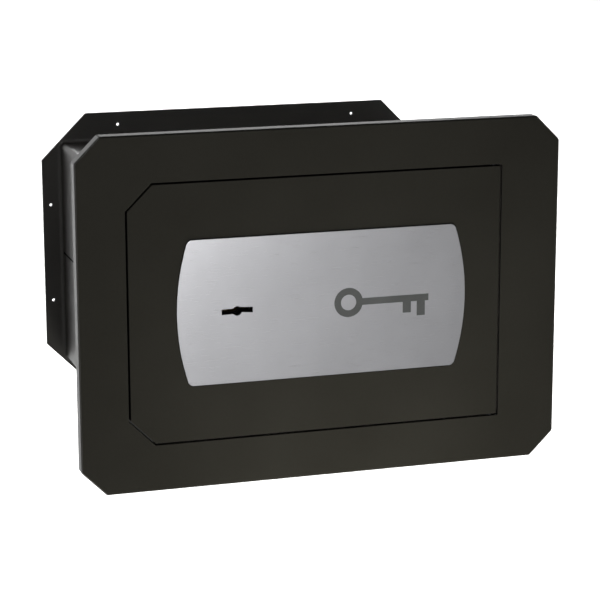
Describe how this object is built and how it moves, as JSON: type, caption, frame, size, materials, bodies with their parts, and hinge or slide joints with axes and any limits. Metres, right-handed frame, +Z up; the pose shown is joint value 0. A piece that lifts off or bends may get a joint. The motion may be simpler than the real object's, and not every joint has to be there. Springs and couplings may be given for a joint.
{
  "type": "wall safe",
  "caption": "Recessed wall safe with a flush front frame, a hinged steel door with a satin panel and double-bit key lock, sliding round bolts and a rear anchor flange.",
  "frame": {"origin": "middle of the front frame on the wall's surface, the plane of the frame's back edge", "axes": "+X to the right seen from the front, +Y into the wall, +Z up"},
  "size_m": [0.4, 0.2658, 0.286],
  "materials": {
    "powder_coat": "fine textured powder coat",
    "body_paint": "satin paint on folded sheet",
    "satin_panel": "satin",
    "bolt_steel": "machined",
    "zinc_plate": "zinc plated",
    "hardened_steel": "blackened",
    "brass": "satin",
    "felt": "needled felt"
  },
  "bodies": {
    "safe_body": {"front_frame": "powder_coat", "jamb_frame": "body_paint", "seat_frame": "body_paint", "upper_shell": "body_paint", "lower_shell": "body_paint", "back_plate": "body_paint", "left_seam_strip": "body_paint", "right_seam_strip": "body_paint", "floor_mat": "felt", "upper_hinge_pin": "hardened_steel", "lower_hinge_pin": "hardened_steel", "hinge_washer": "hardened_steel"},
    "door": {"door_plate": "powder_coat", "fascia_panel": "satin_panel", "hard_plate": "hardened_steel", "dog_bar": "bolt_steel", "lock_case": "zinc_plate", "lock_cover": "zinc_plate", "lock_screw_1": "zinc_plate", "lock_screw_2": "zinc_plate", "lock_screw_3": "zinc_plate", "lock_screw_4": "zinc_plate", "lever_1": "hardened_steel", "lever_2": "hardened_steel", "lever_3": "hardened_steel", "lever_post": "bolt_steel", "lever_spring": "bolt_steel", "bolt_guide": "zinc_plate", "boltwork_cover": "powder_coat", "cover_post_1": "zinc_plate", "cover_post_2": "zinc_plate", "cover_post_3": "zinc_plate", "cover_post_4": "zinc_plate", "cover_screw_1": "zinc_plate", "cover_screw_2": "zinc_plate", "cover_screw_3": "zinc_plate", "cover_screw_4": "zinc_plate"},
    "bolt_carriage": {"bolt_bar": "bolt_steel", "lock_bolt": "brass", "upper_bolt": "bolt_steel", "lower_bolt": "bolt_steel", "upper_bolt_screw": "zinc_plate", "lower_bolt_screw": "zinc_plate"},
    "key_rotor": {"key_curtain": "hardened_steel", "drive_disc": "bolt_steel"}
  },
  "joints": [
    {"name": "door_hinge", "type": "hinge", "parent": "safe_body", "child": "door", "pos_m": [0.144, -0.0078, 0], "axis": [0, 0, 1], "range_deg": [0, 95]},
    {"name": "bolt_slide", "type": "slide", "parent": "door", "child": "bolt_carriage", "axis": [-1, 0, 0], "range_m": [0, 0.013]},
    {"name": "key_turn", "type": "hinge", "parent": "door", "child": "key_rotor", "pos_m": [-0.0724, 0, -0.0006], "axis": [0, -1, 0], "range_deg": [0, 180]}
  ],
  "couplings": [
    {"joint": "key_turn", "follows": "bolt_slide", "rad_per_m": 241.6}
  ]
}
